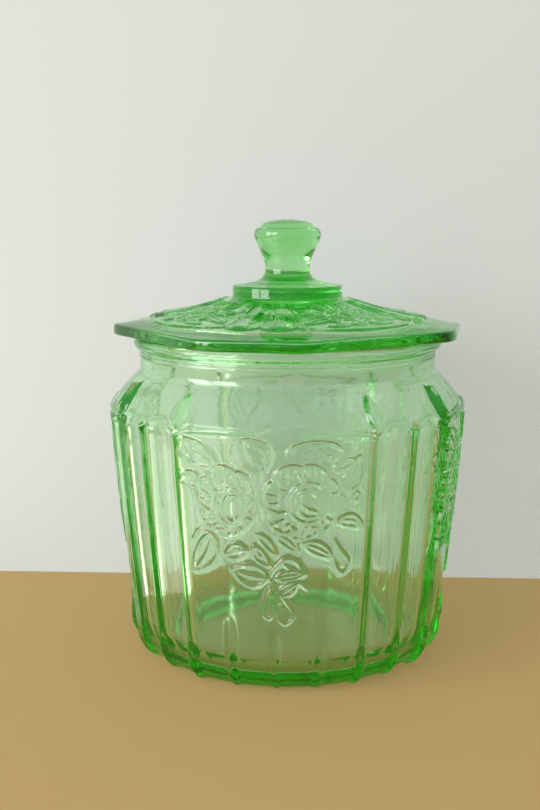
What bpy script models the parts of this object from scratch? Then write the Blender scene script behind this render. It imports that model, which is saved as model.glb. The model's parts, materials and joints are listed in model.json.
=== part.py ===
"""A square-shouldered pressed-glass jar with a lift-off lid, modelled as its two pieces of glass.

The jar is one pressing: a round vessel whose outside carries ribs, flutes and four plain panels, with a
plain neck and a rolled lip. The lid is a second pressing: an eight-sided plate that rests on the lip, a
ring below it that drops into the mouth, a shallow dome, a collar and a knob. Each piece is one closed
solid. Lengths are in metres, +Z is up, the origin is the middle of the ring that the jar stands on, and
the first panel faces -Y.
"""

from math import cos, pi, radians, sin, sqrt, tau

import bmesh
import bpy

# ---------------------------------------------------------------------------------------------
# Driving dimensions of the jar
# ---------------------------------------------------------------------------------------------
MOUTH_RADIUS = 0.0570  # inside the neck
WALL = 0.0040  # glass between the inside and the plain panels, and round the neck
FLOOR = 0.0068  # glass at the middle of the base
SHOULDER_OVERHANG = 0.0118  # how far the panels stand out from the neck
SIDE_TAPER = 0.0082  # how much narrower the side is at the base
SIDE_BULGE = 0.0005  # how far the side swells halfway up
SIDE_HEIGHT = 0.0880  # from the base curve to the shoulder
BASE_CURVE_WIDTH = 0.0100
BASE_CURVE_HEIGHT = 0.0140
SHOULDER_RISE = 0.0155
NECK_HEIGHT = 0.0135  # from the shoulder to the top of the lip
LIP_PROUD = 0.0025  # how far the rolled lip stands out from the neck
LIP_HEIGHT = 0.0050
FOOT_RING_WIDTH = 0.0070
FOOT_HOLLOW = 0.0010  # depth of the hollow inside the ring that the jar stands on
INNER_BASE_CURVE = 0.0110

# Ribs and flutes
PANELS = 4
DIVISIONS = 24  # six to each panel: the ribs lie on them
TALL_RIB = 0.0036  # the two ribs that frame each panel
MIDDLE_RIB = 0.0023  # the rib between two flutes
SHORT_RIB = 0.0022  # the three ribs below each panel
SHORT_RIB_HEIGHT = 0.0260
FLUTE_HOLLOW = 0.0006  # how far a flute's floor lies behind the panels
RIB_HALF_WIDTH = 2.2  # degrees
RIB_SHARE_AT_FOOT = 0.7  # of its height that a rib keeps where the base curve meets the foot

# ---------------------------------------------------------------------------------------------
# Driving dimensions of the lid
# ---------------------------------------------------------------------------------------------
LID_GAP = 0.0003  # between the lip and the lid that rests on it
SPIGOT_CLEARANCE = 0.0016  # between the mouth and the ring under the lid
SPIGOT_WALL = 0.0030
SPIGOT_DEPTH = 0.0035
LID_TURN = -7.2  # degrees that the lid is turned from the jar's panels
PLATE_THICKNESS = 0.0043
PLATE_EDGE = 0.0009  # rounding of the plate's edge
LONG_SIDE_OVERHANG = 0.0002  # past the lip, at the middle of each of the four long sides
SHORT_SIDE_OVERHANG = 0.0067  # past the lip, at the middle of each of the four short sides
CORNER_SHARPNESS = 36
DOME_INSET = 0.0075  # from the lip's outside to the foot of the dome
DOME_STEP = 0.0025  # the plate slopes up this far from its edge to the dome
DOME_RISE = 0.0085  # from the step to the collar
LID_HOLLOW = 0.0075  # rise of the underside from the ring to its flat middle
LID_WALL = 0.0048  # from the collar's side in to the hollow's flat middle
COLLAR_RADIUS = 0.0226
COLLAR_HEIGHT = 0.0048
KNOB_RADIUS = 0.0137
KNOB_WAIST = 0.0091
KNOB_HEIGHT = 0.0265  # above the collar

# Columns round each piece. The jar's follow the ribs, with these angles in each division.
RIB_COLUMNS = (0.0, RIB_HALF_WIDTH, 7.5, 15.0 - RIB_HALF_WIDTH)
LID_COLUMNS = 72

# ---------------------------------------------------------------------------------------------
# Heights and radii that follow from the driving dimensions
# ---------------------------------------------------------------------------------------------
NECK_RADIUS = MOUTH_RADIUS + WALL
SHOULDER_RADIUS = NECK_RADIUS + SHOULDER_OVERHANG
BASE_RADIUS = SHOULDER_RADIUS - SIDE_TAPER
FOOT_RADIUS = BASE_RADIUS - BASE_CURVE_WIDTH
LIP_RADIUS = NECK_RADIUS + LIP_PROUD
SHOULDER_Z = BASE_CURVE_HEIGHT + SIDE_HEIGHT
NECK_Z = SHOULDER_Z + SHOULDER_RISE
LIP_TOP_Z = NECK_Z + NECK_HEIGHT
PLATE_Z = LIP_TOP_Z + LID_GAP
PLATE_TOP_Z = PLATE_Z + PLATE_THICKNESS
DOME_RADIUS = LIP_RADIUS - DOME_INSET
SPIGOT_RADIUS = MOUTH_RADIUS - SPIGOT_CLEARANCE
COLLAR_Z = PLATE_TOP_Z + DOME_STEP + DOME_RISE


def smooth(value):
    """0 below 0, 1 above 1, and an even curve between them."""
    value = min(max(value, 0.0), 1.0)
    return value * value * (3.0 - 2.0 * value)


def side_radius(z):
    """Radius of the plain panels between the base curve and the shoulder."""
    rise = (z - BASE_CURVE_HEIGHT) / SIDE_HEIGHT
    return BASE_RADIUS + SIDE_TAPER * rise + SIDE_BULGE * sin(pi * rise)


def base_radius(z):
    """Radius of the curve that turns the side in under the jar."""
    return FOOT_RADIUS + BASE_CURVE_WIDTH * sqrt(1.0 - (1.0 - z / BASE_CURVE_HEIGHT) ** 2)


def shoulder_radius(rise):
    """Radius of the shoulder, for a rise from 0 at the side to 1 at the neck."""
    return SHOULDER_RADIUS - SHOULDER_OVERHANG * rise**1.4


def rib_kind(division):
    """Which rib lies on a division: tall ones frame a panel, and short ones lie below it."""
    place = division % (DIVISIONS // PANELS)
    return {2: "tall", 3: "middle", 4: "tall"}.get(place, "short")


def outer_ring(bm, radius, z, tall, middle, short):
    """A ring of points round the jar's outside, with the height of each kind of rib."""
    height = {"tall": tall, "middle": middle, "short": short}
    ring = []
    for division in range(DIVISIONS):
        fluted = "middle" in (rib_kind(division), rib_kind(division + 1))
        hollow = FLUTE_HOLLOW * min(1.0, middle / MIDDLE_RIB) if fluted else 0.0
        for column, degrees in enumerate(RIB_COLUMNS):
            angle = radians(degrees + 360.0 / DIVISIONS * division)
            proud = (height[rib_kind(division)], 0.0, -hollow, 0.0)[column]
            ring.append(bm.verts.new(((radius + proud) * sin(angle), -(radius + proud) * cos(angle), z)))
    return ring


def round_ring(bm, radius, z, columns):
    """A ring of evenly spaced points."""
    angles = [tau * column / columns for column in range(columns)]
    return [bm.verts.new((radius * sin(angle), -radius * cos(angle), z)) for angle in angles]


def join_rings(bm, first, second):
    """Faces between two rings. The second may have half as many points as the first."""
    step = len(first) // len(second)
    count = len(second)
    for place in range(count):
        following = (place + 1) % count
        if step == 1:
            bm.faces.new((first[place], first[following], second[following], second[place]))
            continue
        middle = first[step * place + 1]
        bm.faces.new((first[step * place], middle, second[place]))
        bm.faces.new((middle, second[following], second[place]))
        bm.faces.new((middle, first[step * following % len(first)], second[following]))


def join_all(bm, rings):
    for first, second in zip(rings, rings[1:]):
        join_rings(bm, first, second)


def close_ring(bm, ring, z):
    """A fan of faces from a ring to a point on the axis."""
    middle = bm.verts.new((0.0, 0.0, z))
    for place, vert in enumerate(ring):
        bm.faces.new((vert, ring[(place + 1) % len(ring)], middle))


def glass(name, colour, roughness):
    material = bpy.data.materials.new(name)
    material.use_nodes = True
    shader = material.node_tree.nodes["Principled BSDF"]
    shader.inputs["Base Color"].default_value = (*colour, 1.0)
    shader.inputs["Roughness"].default_value = roughness
    shader.inputs["Metallic"].default_value = 0.0
    shader.inputs["IOR"].default_value = 1.52
    shader.inputs["Transmission Weight"].default_value = 1.0
    return material


def finish_piece(bm, name, material):
    """Turns a bmesh into a smooth-shaded object with its faces pointing out."""
    bmesh.ops.recalc_face_normals(bm, faces=bm.faces[:])
    mesh = bpy.data.meshes.new(name)
    bm.to_mesh(mesh)
    bm.free()
    mesh.materials.append(material)
    mesh.shade_smooth()
    mesh.set_sharp_from_angle(angle=radians(40.0))
    piece = bpy.data.objects.new(name, mesh)
    bpy.context.scene.collection.objects.link(piece)
    return piece


def jar_outside(bm):
    """Rings of the jar's outside, from the ring that it stands on up to the lip."""
    rings = []
    for z in (0.0, 0.0006, 0.0022, 0.0050, 0.0090):
        share = RIB_SHARE_AT_FOOT + (1.0 - RIB_SHARE_AT_FOOT) * z / BASE_CURVE_HEIGHT
        rings.append(outer_ring(bm, base_radius(z), z, TALL_RIB * share, MIDDLE_RIB * share, SHORT_RIB * share))
    for share in (0.0, 0.5, 1.0):
        z = BASE_CURVE_HEIGHT + (SHORT_RIB_HEIGHT - BASE_CURVE_HEIGHT) * share
        short = SHORT_RIB * (1.0 - smooth(share))
        rings.append(outer_ring(bm, side_radius(z), z, TALL_RIB, MIDDLE_RIB, short))
    for share in (0.35, 0.7, 0.94, 1.0):
        z = SHORT_RIB_HEIGHT + (SHOULDER_Z - SHORT_RIB_HEIGHT) * share
        rings.append(outer_ring(bm, side_radius(z), z, TALL_RIB, MIDDLE_RIB, 0.0))
    for rise in (0.25, 0.5, 0.75, 1.0):
        tall = TALL_RIB * (1.0 - smooth(rise / 0.95))
        middle = MIDDLE_RIB * (1.0 - smooth(rise / 0.6))
        rings.append(outer_ring(bm, shoulder_radius(rise), SHOULDER_Z + SHOULDER_RISE * rise, tall, middle, 0.0))
    lip_z = LIP_TOP_Z - LIP_HEIGHT
    profile = [(NECK_RADIUS, lip_z)]
    for degrees in (-60.0, -20.0, 20.0, 60.0, 90.0):
        angle = radians(degrees)
        radius = LIP_RADIUS - LIP_PROUD * (1.0 - cos(angle))
        profile.append((radius, lip_z + LIP_HEIGHT / 2 * (1.0 + sin(angle))))
    rings += [outer_ring(bm, radius, z, 0.0, 0.0, 0.0) for radius, z in profile]
    return rings


def jar_inside(bm):
    """Rings of the jar's inside, from the lip down to the floor."""
    columns = DIVISIONS * len(RIB_COLUMNS) // 2
    shoulder_z = SHOULDER_Z - WALL * 0.4
    profile = [(MOUTH_RADIUS + WALL * 0.3, LIP_TOP_Z), (MOUTH_RADIUS, LIP_TOP_Z - WALL * 0.3)]
    profile.append((MOUTH_RADIUS, NECK_Z - WALL * 0.4))
    for rise in (0.75, 0.5, 0.25, 0.0):
        profile.append((shoulder_radius(rise) - WALL, shoulder_z + SHOULDER_RISE * rise))
    curve_top = FLOOR + INNER_BASE_CURVE
    profile.append(((side_radius(SHOULDER_Z) + side_radius(curve_top)) / 2 - WALL, (SHOULDER_Z + curve_top) / 2))
    wall_radius = side_radius(curve_top) - WALL
    for degrees in (0.0, 30.0, 60.0, 90.0):
        angle = radians(degrees)
        radius = wall_radius - INNER_BASE_CURVE * (1.0 - cos(angle))
        profile.append((radius, curve_top - INNER_BASE_CURVE * sin(angle)))
    return [round_ring(bm, radius, z, columns) for radius, z in profile]


def make_jar():
    bm = bmesh.new()
    outside = jar_outside(bm)
    inside = jar_inside(bm)
    join_all(bm, outside + inside)
    close_ring(bm, inside[-1], FLOOR)
    columns = len(outside[0])
    ring_inside = FOOT_RADIUS - FOOT_RING_WIDTH
    foot = [round_ring(bm, ring_inside, 0.0, columns), round_ring(bm, ring_inside - FOOT_HOLLOW, FOOT_HOLLOW, columns)]
    join_all(bm, [outside[0]] + foot)
    close_ring(bm, foot[-1], FOOT_HOLLOW)
    return finish_piece(bm, "jar_body", glass("green_glass_jar", (0.36, 0.70, 0.38), 0.04))


def plate_radius(angle):
    """Radius of the eight-sided plate: four long and four short sides, with rounded corners."""
    total = 0.0
    for side in range(8):
        overhang = LONG_SIDE_OVERHANG if side % 2 else SHORT_SIDE_OVERHANG
        facing = cos(angle - radians(LID_TURN) - tau * side / 8)
        if facing > 0.0:
            total += (facing / (LIP_RADIUS + overhang)) ** CORNER_SHARPNESS
    return total ** (-1.0 / CORNER_SHARPNESS)


def plate_ring(bm, inset, z):
    angles = [tau * column / LID_COLUMNS + radians(LID_TURN) for column in range(LID_COLUMNS)]
    points = [(plate_radius(angle) - inset, angle) for angle in angles]
    return [bm.verts.new((radius * sin(angle), -radius * cos(angle), z)) for radius, angle in points]


def turned_ring(bm, radius, z, columns):
    """A round ring whose points line up with the plate's."""
    angles = [tau * column / columns + radians(LID_TURN) for column in range(columns)]
    return [bm.verts.new((radius * sin(angle), -radius * cos(angle), z)) for angle in angles]


def dome_height(share):
    """Height of the dome above its step, for a share from 0 at its foot to 1 at the collar."""
    return DOME_RISE * (0.55 * share + 0.45 * share**2.2)


def knob_profile():
    """Radius and height above the collar of the knob and the cone under it, upwards."""
    waist_z = KNOB_HEIGHT * 0.22
    head_z = KNOB_HEIGHT * 0.78
    profile = [(COLLAR_RADIUS * 0.70, 0.0012), (KNOB_WAIST * 1.12, KNOB_HEIGHT * 0.11), (KNOB_WAIST, waist_z)]
    for share in (0.35, 0.7):
        swell = share**1.6
        profile.append((KNOB_WAIST + (KNOB_RADIUS - KNOB_WAIST) * swell, waist_z + (head_z - waist_z) * share))
    crown = KNOB_RADIUS * 0.86
    profile += [(KNOB_RADIUS, head_z), (KNOB_RADIUS, head_z + 0.0014), (crown, head_z + 0.0028)]
    profile += [(crown * 0.9, KNOB_HEIGHT * 0.95), (crown * 0.5, KNOB_HEIGHT * 0.99)]
    return profile


def make_lid():
    bm = bmesh.new()
    edge = PLATE_EDGE
    under = [plate_ring(bm, edge, PLATE_Z), plate_ring(bm, 0.0, PLATE_Z + edge)]
    rings = under + [plate_ring(bm, 0.0, PLATE_TOP_Z - edge), plate_ring(bm, edge, PLATE_TOP_Z)]
    rings.append(turned_ring(bm, DOME_RADIUS, PLATE_TOP_Z + DOME_STEP, LID_COLUMNS))
    upper = []
    for share in (0.33, 0.66, 1.0):
        radius = DOME_RADIUS + (COLLAR_RADIUS - DOME_RADIUS) * share
        upper.append((radius, PLATE_TOP_Z + DOME_STEP + dome_height(share)))
    collar_top = COLLAR_Z + COLLAR_HEIGHT
    upper += [(COLLAR_RADIUS, collar_top - 0.0006), (COLLAR_RADIUS - 0.0006, collar_top)]
    upper += [(radius, collar_top + z) for radius, z in knob_profile()]
    rings += [turned_ring(bm, radius, z, LID_COLUMNS // 2) for radius, z in upper]
    join_all(bm, rings)
    close_ring(bm, rings[-1], collar_top + KNOB_HEIGHT)

    spigot_z = PLATE_Z - SPIGOT_DEPTH
    hollow_radius = SPIGOT_RADIUS - SPIGOT_WALL
    lower = [(SPIGOT_RADIUS, PLATE_Z), (SPIGOT_RADIUS, spigot_z), (hollow_radius, spigot_z), (hollow_radius, PLATE_Z)]
    below = [turned_ring(bm, radius, z, LID_COLUMNS) for radius, z in lower]
    ceiling = []
    for share in (0.5, 1.0):
        radius = hollow_radius + (COLLAR_RADIUS - LID_WALL - hollow_radius) * share
        ceiling.append(turned_ring(bm, radius, PLATE_Z + LID_HOLLOW * share**0.9, LID_COLUMNS // 2))
    join_all(bm, [under[0]] + below + ceiling)
    close_ring(bm, ceiling[-1], PLATE_Z + LID_HOLLOW)
    return finish_piece(bm, "lid", glass("green_glass_lid", (0.36, 0.70, 0.38), 0.04))


def main():
    for old in list(bpy.data.objects):
        bpy.data.objects.remove(old, do_unlink=True)
    make_jar()
    make_lid()


main()
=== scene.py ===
# %% [markdown]
# # A pressed green glass jar with a lift-off lid
#
# Pressed glass is made by squeezing molten glass into an engraved iron mould, so every rib, flute and rose
# stands in one skin of glass. This lesson makes it the same way: first a smooth blank, then one Geometry
# Nodes tree that presses the pattern into it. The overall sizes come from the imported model, so it is loaded
# first.

# %% Load the fixed model and keep its box
import json
from math import atan2, ceil, cos, degrees, pi, radians, sin, tau

import bmesh
import bpy
import numpy as np
from mathutils import Euler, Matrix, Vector
from mathutils.kdtree import KDTree

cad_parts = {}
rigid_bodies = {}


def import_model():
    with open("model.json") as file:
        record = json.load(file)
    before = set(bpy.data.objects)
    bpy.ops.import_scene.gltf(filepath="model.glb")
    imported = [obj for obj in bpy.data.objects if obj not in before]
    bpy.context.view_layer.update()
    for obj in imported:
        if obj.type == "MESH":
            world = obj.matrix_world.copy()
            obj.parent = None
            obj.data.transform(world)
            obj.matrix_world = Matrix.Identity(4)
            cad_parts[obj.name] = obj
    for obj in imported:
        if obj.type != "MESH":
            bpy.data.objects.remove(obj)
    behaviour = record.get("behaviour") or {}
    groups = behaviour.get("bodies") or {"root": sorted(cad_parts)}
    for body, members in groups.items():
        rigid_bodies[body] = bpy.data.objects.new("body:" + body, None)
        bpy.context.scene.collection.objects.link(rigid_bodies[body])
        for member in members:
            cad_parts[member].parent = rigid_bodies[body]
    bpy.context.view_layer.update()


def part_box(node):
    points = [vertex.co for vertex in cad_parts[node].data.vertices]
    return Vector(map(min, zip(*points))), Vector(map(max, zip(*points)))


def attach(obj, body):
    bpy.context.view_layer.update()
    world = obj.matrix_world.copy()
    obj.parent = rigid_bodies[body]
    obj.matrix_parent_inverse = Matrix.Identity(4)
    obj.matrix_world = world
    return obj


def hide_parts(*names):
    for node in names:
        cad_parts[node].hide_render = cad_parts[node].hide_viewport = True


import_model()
MM = 0.001
jar_low, jar_high = (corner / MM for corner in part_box("jar_body"))
lid_low, lid_high = (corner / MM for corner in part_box("lid"))
print("the packed jar is", [round(value, 1) for value in jar_high - jar_low], "mm")

# %% [markdown]
# ## Sizes
#
# Everything below is in millimetres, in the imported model's frame. The jar's width, its lip and the lid's
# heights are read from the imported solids. The rest are the jar's own proportions: wall, neck, shoulder and
# the heights where one part of the outline turns into the next.

# %% Sizes of the jar
PANEL_RADIUS = jar_high.x  # the plain panels, at the shoulder
LIP_TOP = jar_high.z
WALL = 4.0
SHOULDER_OVERHANG = 11.8  # from the panels in to the neck
NECK_RADIUS = PANEL_RADIUS - SHOULDER_OVERHANG
MOUTH_RADIUS = NECK_RADIUS - WALL
LIP_PROUD = 2.5
LIP_RADIUS = NECK_RADIUS + LIP_PROUD
LIP_HEIGHT = 5.0
NECK_HEIGHT = 13.5
SHOULDER_HEIGHT = 15.5
NECK_FOOT = LIP_TOP - NECK_HEIGHT
SHOULDER = NECK_FOOT - SHOULDER_HEIGHT
INNER_SHOULDER_DROP = 1.6
SPRAY_FOOT = 26.0  # nothing is drawn on the panels below this height
BASE_CURVE_TOP = 14.0
SIDE_TAPER = 8.2
SIDE_BULGE = 0.5
BASE_CURVE_WIDTH = 10.0
FOOT_RING_WIDTH = 7.0
FOOT_HOLLOW = 1.0
FLOOR = 6.8
FLOOR_FLAT_RADIUS = 25.0
INNER_CURVE = 11.0
BASE_RADIUS = PANEL_RADIUS - SIDE_TAPER
FOOT_RADIUS = BASE_RADIUS - BASE_CURVE_WIDTH
print(f"neck radius {NECK_RADIUS:.1f} mm, shoulder at {SHOULDER:.1f} mm, lip at {LIP_TOP:.1f} mm")

# %% Sizes of the lid
LID_GAP = 0.3
PLATE = LIP_TOP + LID_GAP
PLATE_THICKNESS = 4.3
PLATE_TOP = PLATE + PLATE_THICKNESS
LONG_SIDE_REACH = 6.7  # past the lip
SHORT_SIDE_REACH = 0.2
CORNER_SHARPNESS = 36
SPIGOT_GAP = 1.6  # inside the mouth
SPIGOT_WALL = 3.0
SPIGOT_FOOT = lid_low.z
KNOB_TOP = lid_high.z
LID_TURN = radians(-7.2)
DOME_INSET = 7.5
DOME_RADIUS = LIP_RADIUS - DOME_INSET
DOME_FOOT = PLATE_TOP + 2.5
COLLAR_RADIUS = 22.6
COLLAR_TOP = KNOB_TOP - 26.5
COLLAR_FOOT = COLLAR_TOP - 4.8
KNOB_RADIUS = 13.7
CEILING = PLATE + 7.5
print(f"plate from {PLATE:.1f} to {PLATE_TOP:.1f} mm, knob up to {KNOB_TOP:.1f} mm")

# %% [markdown]
# ## Camera
#
# A 50 mm lens on a 36 mm wide sensor, a little above the lid and looking down. The jar stands slightly
# turned, so the camera is moved round it by that angle rather than turning the jar.

# %% Camera
CAMERA_TURN = radians(4.78)
CAMERA_DOWN = 9.73  # degrees below level
CAMERA_PLACE = Vector((-7.2, -466.0, 180.8))  # before the turn
camera_data = bpy.data.cameras.new("camera")
camera_data.lens = 50.0
camera_data.sensor_width = 36.0
camera = bpy.data.objects.new("camera", camera_data)
bpy.context.scene.collection.objects.link(camera)
turned = Euler((0.0, 0.0, CAMERA_TURN)).to_matrix()
camera.location = turned @ CAMERA_PLACE * MM
camera.rotation_euler = (radians(90.0 - CAMERA_DOWN), 0.0, CAMERA_TURN)
bpy.context.scene.camera = camera
print("the camera looks from", [round(value, 3) for value in camera.location], "m")

# %% [markdown]
# ## Node expressions
#
# A node tree is a formula, so it is written as one. `Value` wraps a socket, and arithmetic on it adds Math
# nodes to the tree. `Tree.add` makes any other node: its settings first, then its sockets. `Tree.rise` is a
# smooth step and `Tree.ridge` a rounded line, and everything pressed here is made of those two. The same
# classes serve the Geometry Nodes that shape the glass and the shader nodes that colour it.


# %% Value and Tree
class Value:
    """A socket of a node tree, with Python's operators as Math nodes."""

    def __init__(self, tree, socket):
        self.tree = tree
        self.socket = socket

    def maths(self, operation, *others):
        node = self.tree.nodes.new("ShaderNodeMath")
        node.operation = operation
        for place, value in enumerate((self, *others)):
            put(self.tree, node.inputs[place], value)
        return Value(self.tree, node.outputs[0])

    def reflected(self, operation, other):
        node = self.tree.nodes.new("ShaderNodeMath")
        node.operation = operation
        put(self.tree, node.inputs[0], other)
        put(self.tree, node.inputs[1], self)
        return Value(self.tree, node.outputs[0])

    def __add__(self, other):
        return self.maths("ADD", other)

    def __radd__(self, other):
        return self.maths("ADD", other)

    def __sub__(self, other):
        return self.maths("SUBTRACT", other)

    def __rsub__(self, other):
        return self.reflected("SUBTRACT", other)

    def __mul__(self, other):
        return self.maths("MULTIPLY", other)

    def __rmul__(self, other):
        return self.maths("MULTIPLY", other)

    def __truediv__(self, other):
        return self.maths("DIVIDE", other)

    def __pow__(self, other):
        return self.maths("POWER", other)

    def __neg__(self):
        return self.maths("MULTIPLY", -1.0)

    def __abs__(self):
        return self.maths("ABSOLUTE")


def put(tree, socket, value):
    """Links a Value to a socket, or sets the socket's own value."""
    if isinstance(value, Value):
        tree.links.new(value.socket, socket)
    else:
        socket.default_value = value


class Tree:
    """A node tree that is built by adding one node at a time."""

    def __init__(self, tree):
        self.tree = tree

    def add(self, kind, settings=None, sockets=None, output=0):
        node = self.tree.nodes.new(kind)
        for name, value in (settings or {}).items():
            setattr(node, name, value)
        for name, value in (sockets or {}).items():
            put(self.tree, node.inputs[name], value)
        return Value(self.tree, node.outputs[output]) if node.outputs else node

    def rise(self, value, low, high, start=0.0, end=1.0):
        """An even S-shaped step: start below low, end above high."""
        sockets = {"Value": value, "From Min": low, "From Max": high, "To Min": start, "To Max": end}
        return self.add("ShaderNodeMapRange", {"interpolation_type": "SMOOTHSTEP"}, sockets)

    def ridge(self, value, centre, half):
        """A rounded ridge: 1 where value is centre, and 0 from half away."""
        return self.rise(abs(value - centre), half, 0.0)

    def parts(self, vector):
        """The x, y and z of a place, in mm."""
        apart = self.tree.nodes.new("ShaderNodeSeparateXYZ")
        put(self.tree, apart.inputs[0], vector)
        return [Value(self.tree, apart.outputs[axis]) / MM for axis in range(3)]


# %% [markdown]
# ## Blanks
#
# A blank is a closed stack of rings, as if turned on a lathe. Rings may have fewer points where nothing
# fine is pressed, such as inside the jar: `stack` joins a ring to one with half as many points by a row of
# triangles. Each ring is a radius and a height. `arc` gives the stations round a curved edge.


# %% Rings into a closed mesh
def stack(name, rings, angles, start, end):
    """A closed mesh from (radius, height, step) rings. A ring uses every step-th angle, and radius may be
    a function of the angle. start and end are the heights of the points that close the two ends."""
    points = [(0.0, 0.0, start)]
    faces = []
    previous = None
    for radius, height, step in rings:
        used = angles[::step]
        reach = radius(used) if callable(radius) else np.full(len(used), radius)
        first = len(points)
        points.extend(zip(reach * np.sin(used), -reach * np.cos(used), np.full(len(used), height)))
        ring = list(range(first, first + len(used)))
        faces += fan(ring, 0, True) if previous is None else join(previous, ring)
        previous = ring
    points.append((0.0, 0.0, end))
    faces += fan(previous, len(points) - 1, False)
    mesh = bpy.data.meshes.new(name)
    mesh.from_pydata((np.array(points) * MM).tolist(), [], faces)
    mesh.validate()
    mesh.shade_smooth()
    piece = bpy.data.objects.new(name, mesh)
    bpy.context.scene.collection.objects.link(piece)
    return piece


def fan(ring, middle, first):
    after = ring[1:] + ring[:1]
    return [(middle, b, a) if first else (middle, a, b) for a, b in zip(ring, after)]


def join(low, high):
    """Faces between two rings whose numbers of points are equal, or differ by a factor of two."""
    faces = []
    if len(low) == len(high):
        for place in range(len(low)):
            faces.append((low[place - 1], low[place], high[place], high[place - 1]))
        return faces
    fine, coarse = (low, high) if len(low) > len(high) else (high, low)
    for place in range(len(coarse)):
        a, b, c = fine[2 * place - 2], fine[2 * place - 1], fine[2 * place]
        d, e = coarse[place - 1], coarse[place]
        three = [(a, b, d), (b, e, d), (b, c, e)]
        faces += three if fine is low else [face[::-1] for face in three]
    return faces


def arc(centre, radii, first, last, count):
    """Stations round part of an ellipse, between two angles in degrees from +X towards +Z."""
    turns = np.radians(np.linspace(first, last, count))
    return [(centre[0] + radii[0] * cos(t), centre[1] + radii[1] * sin(t)) for t in turns]


# %% [markdown]
# ### The jar's blank
#
# The outside goes up from the foot: the base curve, the tapering side, the shoulder, the neck and the
# rolled lip. Then the inside goes down again to the floor. The columns are close together on the panels,
# where the roses are, closer still on the ribs, and wide apart in the flutes.


# %% Columns round the jar
TALL_RIB_AT = 30.0  # degrees from the middle of a panel
MIDDLE_RIB_AT = 45.0
RIBS_AT = (TALL_RIB_AT, MIDDLE_RIB_AT, 60.0)
RIB_ZONE = 2.2
PANEL_STEP = 0.785
RIB_STEP = 0.45
FLUTE_STEP = 1.5


def spread(first, last, step):
    return np.linspace(first, last, max(1, round((last - first) / step)), endpoint=False)


bands = [spread(-TALL_RIB_AT + RIB_ZONE, TALL_RIB_AT - RIB_ZONE, PANEL_STEP)]
for place, rib in enumerate(RIBS_AT):
    if place > 0:
        bands.append(spread(RIBS_AT[place - 1] + RIB_ZONE, rib - RIB_ZONE, FLUTE_STEP))
    bands.append(spread(rib - RIB_ZONE, rib + RIB_ZONE, RIB_STEP))
quarter = np.concatenate(bands)
quarter = quarter[: len(quarter) // 4 * 4]  # a ring may use every fourth column
jar_angles = np.radians(np.concatenate([quarter + 90.0 * turn for turn in range(4)]))
print(len(jar_angles), "columns round the jar")


# %% Outline of the jar
def side_radius(height):
    rise = (height - BASE_CURVE_TOP) / (SHOULDER - BASE_CURVE_TOP)
    return BASE_RADIUS + SIDE_TAPER * rise + SIDE_BULGE * sin(pi * rise)


def shoulder_radius(rise):
    return PANEL_RADIUS - SHOULDER_OVERHANG * rise**1.4


def jar_rings():
    """(radius, height, step) for each ring of the jar's blank, outside and then inside."""
    hollow = FOOT_RADIUS - FOOT_RING_WIDTH
    under = [(hollow * 0.5, FOOT_HOLLOW), (hollow - 1.2, FOOT_HOLLOW), (hollow - 0.4, 0.6)]
    under.append((hollow + 0.3, 0.1))
    rings = [(radius, height, 4) for radius, height in under]
    rings += [(hollow + 1.0, 0.0, 4), (hollow + 2.0, 0.0, 2), (FOOT_RADIUS - 1.0, 0.0, 1)]
    centre = (BASE_RADIUS - BASE_CURVE_WIDTH, BASE_CURVE_TOP)
    curve = arc(centre, (BASE_CURVE_WIDTH, BASE_CURVE_TOP), -86.0, 0.0, 15)[:-1]
    lower = [(side_radius(z), z) for z in np.arange(BASE_CURVE_TOP, SPRAY_FOOT, 1.5)]
    sides = [(side_radius(z), z) for z in np.arange(SPRAY_FOOT, SHOULDER - 4.0, 1.0)]
    corner = [(side_radius(z), z) for z in np.arange(SHOULDER - 4.0, SHOULDER - 0.2, 0.75)]
    rise = NECK_FOOT - SHOULDER
    over = [(shoulder_radius(share), SHOULDER + rise * share) for share in np.linspace(0.0, 0.94, 21)]
    rings += [(radius, height, 1) for radius, height in curve + lower + sides + corner + over]
    fillet = [(NECK_RADIUS + 0.7, NECK_FOOT - 0.4), (NECK_RADIUS + 0.2, NECK_FOOT + 0.3)]
    lip_foot = LIP_TOP - LIP_HEIGHT
    neck = [(NECK_RADIUS, z) for z in np.linspace(NECK_FOOT + 1.0, lip_foot - 3.4, 4)]
    bead = ((-0.45, 0.0), (-0.15, 0.3), (0.2, 0.3), (0.5, 0.0))
    for level in (lip_foot - 2.6, lip_foot - 1.0):
        neck += [(NECK_RADIUS + proud, level + z) for z, proud in bead]
    middle = (LIP_RADIUS - LIP_HEIGHT / 2, LIP_TOP - LIP_HEIGHT / 2)
    lip = arc(middle, (LIP_HEIGHT / 2, LIP_HEIGHT / 2), -62.0, 90.0, 14)
    rings += [(radius, height, 2) for radius, height in fillet + neck + lip]
    inner_lip = arc((MOUTH_RADIUS + 1.4, LIP_TOP - 1.4), (1.4, 1.4), 100.0, 180.0, 5)
    inside = inner_lip + [(MOUTH_RADIUS, z) for z in (LIP_TOP - 6.0, NECK_FOOT + 2.0, NECK_FOOT - 1.0)]
    for share in (0.9, 0.78, 0.64, 0.5, 0.36, 0.22, 0.1, 0.0):
        inside.append((shoulder_radius(share) - WALL, SHOULDER - INNER_SHOULDER_DROP + rise * share))
    bottom = FLOOR + INNER_CURVE
    inside += [(side_radius(z) - WALL, z) for z in np.linspace(SHOULDER - 4.0, bottom + 4.0, 14)]
    wall = side_radius(bottom) - WALL
    inside += arc((wall - INNER_CURVE, bottom), (INNER_CURVE, INNER_CURVE), 0.0, -90.0, 12)
    rings += [(radius, height, 4) for radius, height in inside]
    return rings + [(FLOOR_FLAT_RADIUS, FLOOR, 4)]


jar_blank = stack("pressed_jar", jar_rings(), jar_angles, FOOT_HOLLOW, FLOOR)
print("jar blank:", len(jar_blank.data.vertices), "points")

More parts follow.
